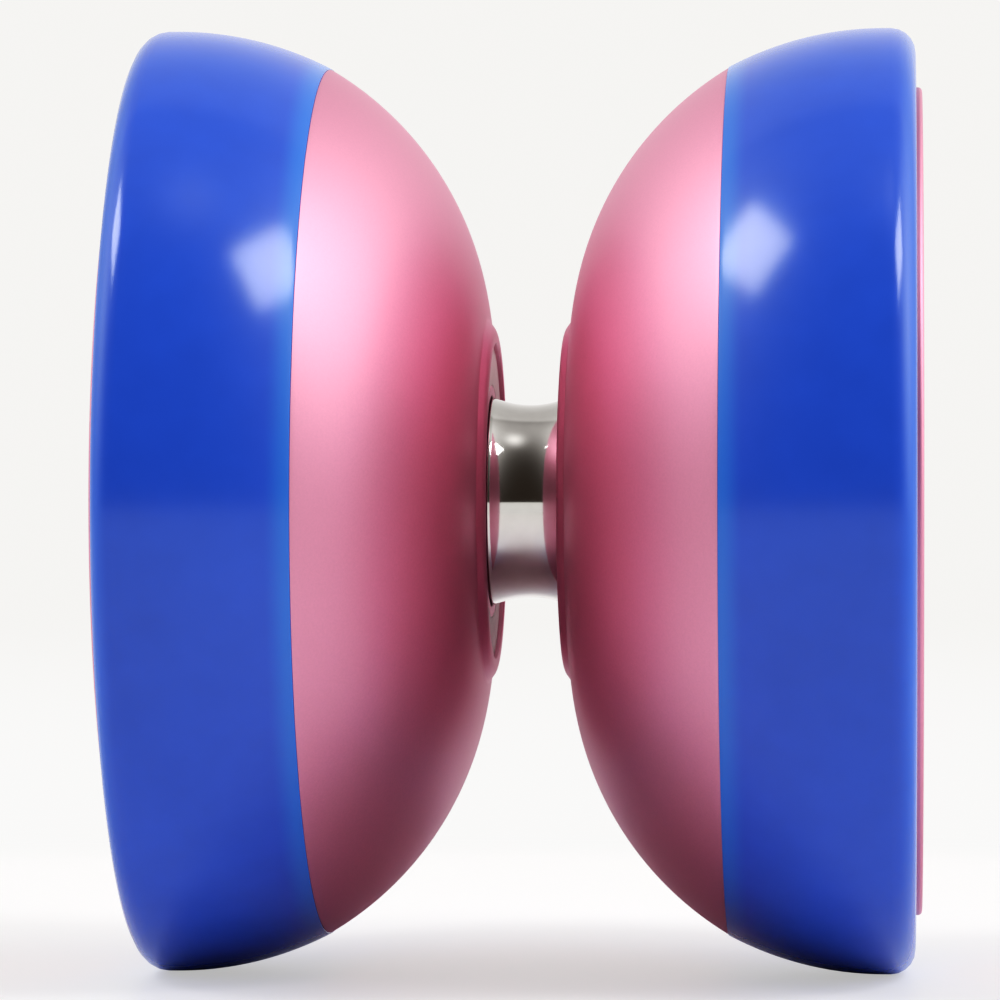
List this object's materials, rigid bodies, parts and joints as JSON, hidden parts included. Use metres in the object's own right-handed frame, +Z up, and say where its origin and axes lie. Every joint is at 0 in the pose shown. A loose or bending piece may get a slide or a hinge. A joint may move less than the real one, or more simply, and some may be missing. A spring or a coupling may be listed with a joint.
{
  "type": "yo-yo",
  "caption": "Wide yo-yo of two domed aluminium halves with glossy plastic rim rings, screwed together on an axle with a concave ball bearing for the string.",
  "frame": {"origin": "middle of the bearing, which is the middle of the yo-yo", "axes": "+X along the axle, towards the half that unscrews, +Z up as the yo-yo stands on its rims"},
  "size_m": [0.0478, 0.0576, 0.0576],
  "materials": {
    "anodised_aluminium": "bead blasted, rose anodised",
    "rim_plastic": "polished",
    "pad_silicone": "matt silicone",
    "race_steel": "polished bearing steel",
    "shield_steel": "brushed",
    "retainer_steel": "pressed steel",
    "axle_steel": "stainless screw"
  },
  "bodies": {
    "left_half": {"left_half_body": "anodised_aluminium", "left_rim_ring": "rim_plastic", "left_response_pad": "pad_silicone", "bearing_inner_race": "race_steel"},
    "string_bearing": {"bearing_outer_race": "race_steel", "left_bearing_shield": "shield_steel", "right_bearing_shield": "shield_steel", "left_snap_ring": "shield_steel", "right_snap_ring": "shield_steel"},
    "ball_cage": {"bearing_retainer": "retainer_steel"},
    "ball_1": {"bearing_ball_1": "race_steel"},
    "ball_2": {"bearing_ball_2": "race_steel"},
    "ball_3": {"bearing_ball_3": "race_steel"},
    "ball_4": {"bearing_ball_4": "race_steel"},
    "ball_5": {"bearing_ball_5": "race_steel"},
    "ball_6": {"bearing_ball_6": "race_steel"},
    "ball_7": {"bearing_ball_7": "race_steel"},
    "ball_8": {"bearing_ball_8": "race_steel"},
    "axle": {"axle_screw": "axle_steel"},
    "right_half": {"right_half_body": "anodised_aluminium", "right_rim_ring": "rim_plastic", "right_response_pad": "pad_silicone"}
  },
  "joints": [
    {"name": "bearing_spin", "type": "hinge", "parent": "left_half", "child": "string_bearing", "pos_m": [0, 0, 0], "axis": [1, 0, 0], "continuous": true},
    {"name": "cage_spin", "type": "hinge", "parent": "left_half", "child": "ball_cage", "pos_m": [0, 0, 0], "axis": [1, 0, 0], "continuous": true},
    {"name": "ball_1_roll", "type": "hinge", "parent": "ball_cage", "child": "ball_1", "pos_m": [0, 0.0044, 0.00182], "axis": [1, 0, 0], "continuous": true},
    {"name": "ball_2_roll", "type": "hinge", "parent": "ball_cage", "child": "ball_2", "pos_m": [0, 0.00182, 0.0044], "axis": [1, 0, 0], "continuous": true},
    {"name": "ball_3_roll", "type": "hinge", "parent": "ball_cage", "child": "ball_3", "pos_m": [0, -0.00182, 0.0044], "axis": [1, 0, 0], "continuous": true},
    {"name": "ball_4_roll", "type": "hinge", "parent": "ball_cage", "child": "ball_4", "pos_m": [0, -0.0044, 0.00182], "axis": [1, 0, 0], "continuous": true},
    {"name": "ball_5_roll", "type": "hinge", "parent": "ball_cage", "child": "ball_5", "pos_m": [0, -0.0044, -0.00182], "axis": [1, 0, 0], "continuous": true},
    {"name": "ball_6_roll", "type": "hinge", "parent": "ball_cage", "child": "ball_6", "pos_m": [0, -0.00182, -0.0044], "axis": [1, 0, 0], "continuous": true},
    {"name": "ball_7_roll", "type": "hinge", "parent": "ball_cage", "child": "ball_7", "pos_m": [0, 0.00182, -0.0044], "axis": [1, 0, 0], "continuous": true},
    {"name": "ball_8_roll", "type": "hinge", "parent": "ball_cage", "child": "ball_8", "pos_m": [0, 0.0044, -0.00182], "axis": [1, 0, 0], "continuous": true},
    {"name": "unscrew_turn", "type": "hinge", "parent": "left_half", "child": "axle", "pos_m": [0, 0, 0], "axis": [1, 0, 0], "range_deg": [0, 2880]},
    {"name": "unscrew_travel", "type": "slide", "parent": "axle", "child": "right_half", "axis": [1, 0, 0], "range_m": [0, 0.0056]}
  ],
  "couplings": [
    {"joint": "cage_spin", "follows": "bearing_spin", "ratio": 0.58333},
    {"joint": "ball_1_roll", "follows": "bearing_spin", "ratio": 2.9167},
    {"joint": "ball_2_roll", "follows": "bearing_spin", "ratio": 2.9167},
    {"joint": "ball_3_roll", "follows": "bearing_spin", "ratio": 2.9167},
    {"joint": "ball_4_roll", "follows": "bearing_spin", "ratio": 2.9167},
    {"joint": "ball_5_roll", "follows": "bearing_spin", "ratio": 2.9167},
    {"joint": "ball_6_roll", "follows": "bearing_spin", "ratio": 2.9167},
    {"joint": "ball_7_roll", "follows": "bearing_spin", "ratio": 2.9167},
    {"joint": "ball_8_roll", "follows": "bearing_spin", "ratio": 2.9167},
    {"joint": "unscrew_travel", "follows": "unscrew_turn", "m_per_rad": 0.00011141}
  ]
}
